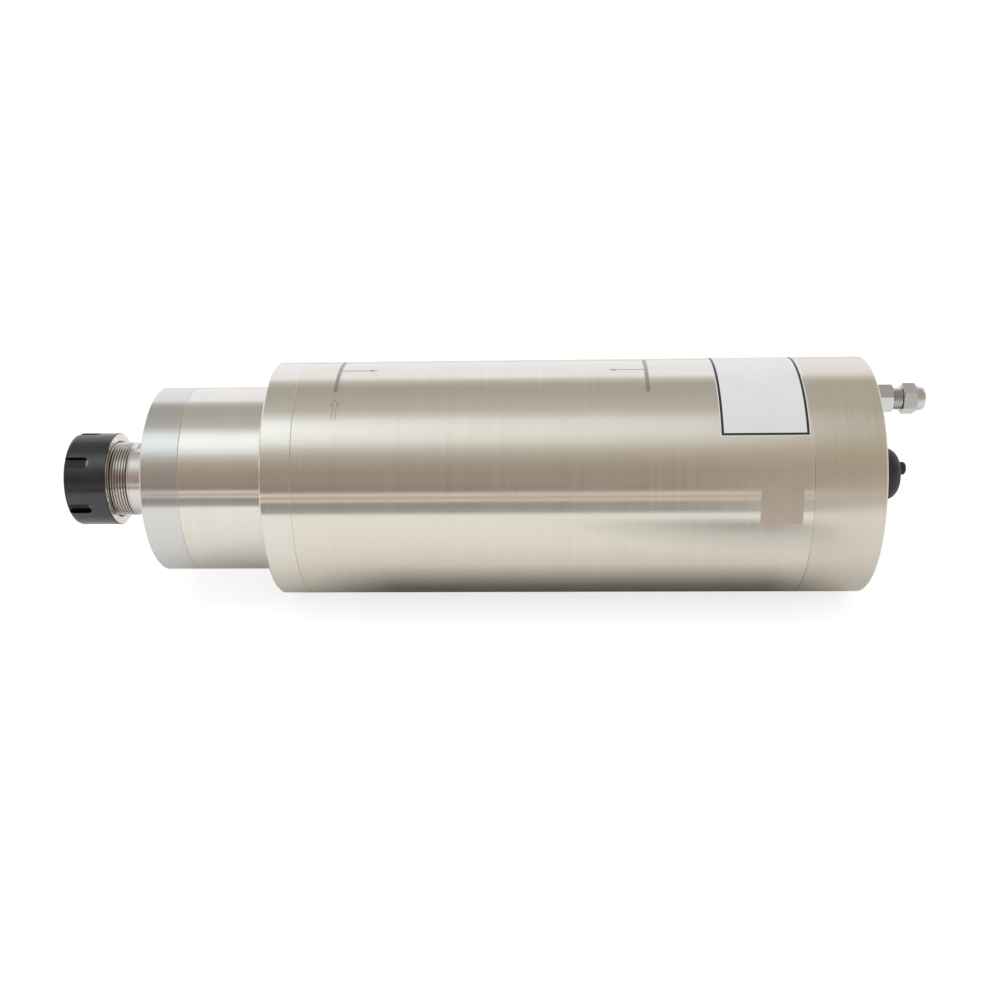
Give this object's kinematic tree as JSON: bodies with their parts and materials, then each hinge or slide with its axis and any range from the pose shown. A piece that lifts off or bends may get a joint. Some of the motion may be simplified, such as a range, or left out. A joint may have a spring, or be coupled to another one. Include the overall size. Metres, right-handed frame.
{
  "type": "motor spindle",
  "caption": "Water-cooled motor spindle: cylindrical steel body, stepped nose, collet nut on a threaded shaft, rear hose fittings and a capped cable socket.",
  "frame": {"origin": "on the spindle's axis, in the middle of the zone where a machine clamps the body", "axes": "+X along the axis from the collet nose to the rear cap; +Z through the upper hose fitting"},
  "size_m": [0.4504, 0.125, 0.125],
  "materials": {
    "ground_steel": "ground, with fine turning lines",
    "machined_steel": "turned",
    "bearing_steel": "polished",
    "cage_resin": "machined fabric resin",
    "black_steel": "black oxide, satin",
    "collet_steel": "ground",
    "screw_steel": "black oxide",
    "nickel": "bright nickel plate",
    "brass": "turned",
    "copper": "varnished copper wire",
    "lamination": "stacked sheet",
    "cast_aluminium": "as cast",
    "jacket_aluminium": "milled",
    "rubber": "matt",
    "insulator": "moulded",
    "gold_plate": "gold plate",
    "lead_jacket": "silicone",
    "spring_steel": "ground"
  },
  "bodies": {
    "housing": {"front_housing": "ground_steel", "housing_sleeve": "ground_steel", "rear_cap": "ground_steel", "nose_cap": "ground_steel", "nose_cap_screws": "screw_steel", "nose_cap_oring": "rubber", "flange_screws": "screw_steel", "front_bearing_a_outer_ring": "bearing_steel", "front_bearing_b_outer_ring": "bearing_steel", "front_outer_spacer": "machined_steel", "water_jacket": "jacket_aluminium", "jacket_oring": "rubber", "spigot_orings": "rubber", "stator_core": "lamination", "stator_winding": "copper", "rear_bearing_a_outer_ring": "bearing_steel", "rear_bearing_b_outer_ring": "bearing_steel", "rear_housing": "machined_steel", "rear_housing_oring": "rubber", "preload_springs": "spring_steel", "rear_bearing_cover": "machined_steel", "bearing_cover_screws": "screw_steel", "rear_cap_screws": "screw_steel", "port_seals": "rubber", "phase_leads": "lead_jacket", "lead_grommet": "rubber", "socket_shell": "nickel", "socket_gasket": "rubber", "socket_screws": "screw_steel", "socket_insert": "insulator", "socket_pins": "gold_plate", "nozzle_body_1": "nickel", "nozzle_body_2": "nickel", "nozzle_washers": "copper"},
    "shaft": {"spindle_shaft": "machined_steel", "labyrinth_ring": "machined_steel", "front_bearing_a_inner_ring": "bearing_steel", "front_bearing_b_inner_ring": "bearing_steel", "front_inner_spacer": "machined_steel", "rotor_core": "lamination", "rotor_cage": "cast_aluminium", "rear_bearing_a_inner_ring": "bearing_steel", "rear_bearing_b_inner_ring": "bearing_steel", "rear_lock_nut": "machined_steel"},
    "front_ball_sets": {"front_bearing_a_balls": "bearing_steel", "front_bearing_a_cage": "cage_resin", "front_bearing_b_balls": "bearing_steel", "front_bearing_b_cage": "cage_resin"},
    "rear_ball_sets": {"rear_bearing_a_balls": "bearing_steel", "rear_bearing_a_cage": "cage_resin", "rear_bearing_b_balls": "bearing_steel", "rear_bearing_b_cage": "cage_resin"},
    "collet": {"collet": "collet_steel"},
    "collet_nut": {"collet_nut": "black_steel"},
    "dust_cap": {"dust_cap": "rubber"},
    "ferrule_1": {"nozzle_ferrule_1": "brass"},
    "nozzle_nut_1": {"nozzle_nut_1": "nickel"},
    "ferrule_2": {"nozzle_ferrule_2": "brass"},
    "nozzle_nut_2": {"nozzle_nut_2": "nickel"}
  },
  "joints": [
    {"name": "shaft_spin", "type": "hinge", "parent": "housing", "child": "shaft", "pos_m": [0, 0, 0], "axis": [1, 0, 0], "continuous": true},
    {"name": "front_cages_turn", "type": "hinge", "parent": "housing", "child": "front_ball_sets", "pos_m": [-0.1345, 0, 0], "axis": [1, 0, 0], "continuous": true},
    {"name": "rear_cages_turn", "type": "hinge", "parent": "housing", "child": "rear_ball_sets", "pos_m": [0.135, 0, 0], "axis": [1, 0, 0], "continuous": true},
    {"name": "collet_release", "type": "slide", "parent": "shaft", "child": "collet", "axis": [-1, 0, 0], "range_m": [0, 0.009]},
    {"name": "collet_nut_turn", "type": "hinge", "parent": "collet", "child": "collet_nut", "pos_m": [-0.2174, 0, 0], "axis": [-1, 0, 0], "range_deg": [0, 2160]},
    {"name": "dust_cap_pull", "type": "slide", "parent": "housing", "child": "dust_cap", "axis": [1, 0, 0], "range_m": [0, 0.03]},
    {"name": "ferrule_1_lift", "type": "slide", "parent": "housing", "child": "ferrule_1", "axis": [1, 0, 0], "range_m": [0, 0.004]},
    {"name": "nozzle_nut_1_turn", "type": "hinge", "parent": "ferrule_1", "child": "nozzle_nut_1", "pos_m": [0.2145, 0, 0.0436], "axis": [1, 0, 0], "range_deg": [0, 1440]},
    {"name": "ferrule_2_lift", "type": "slide", "parent": "housing", "child": "ferrule_2", "axis": [1, 0, 0], "range_m": [0, 0.004]},
    {"name": "nozzle_nut_2_turn", "type": "hinge", "parent": "ferrule_2", "child": "nozzle_nut_2", "pos_m": [0.2145, 0.03776, -0.0218], "axis": [1, 0, 0], "range_deg": [0, 1440]}
  ],
  "couplings": [
    {"joint": "front_cages_turn", "follows": "shaft_spin", "ratio": 0.4276},
    {"joint": "rear_cages_turn", "follows": "shaft_spin", "ratio": 0.4203},
    {"joint": "collet_release", "follows": "collet_nut_turn", "m_per_rad": 0.00023873},
    {"joint": "ferrule_1_lift", "follows": "nozzle_nut_1_turn", "m_per_rad": 0.00015915},
    {"joint": "ferrule_2_lift", "follows": "nozzle_nut_2_turn", "m_per_rad": 0.00015915}
  ]
}
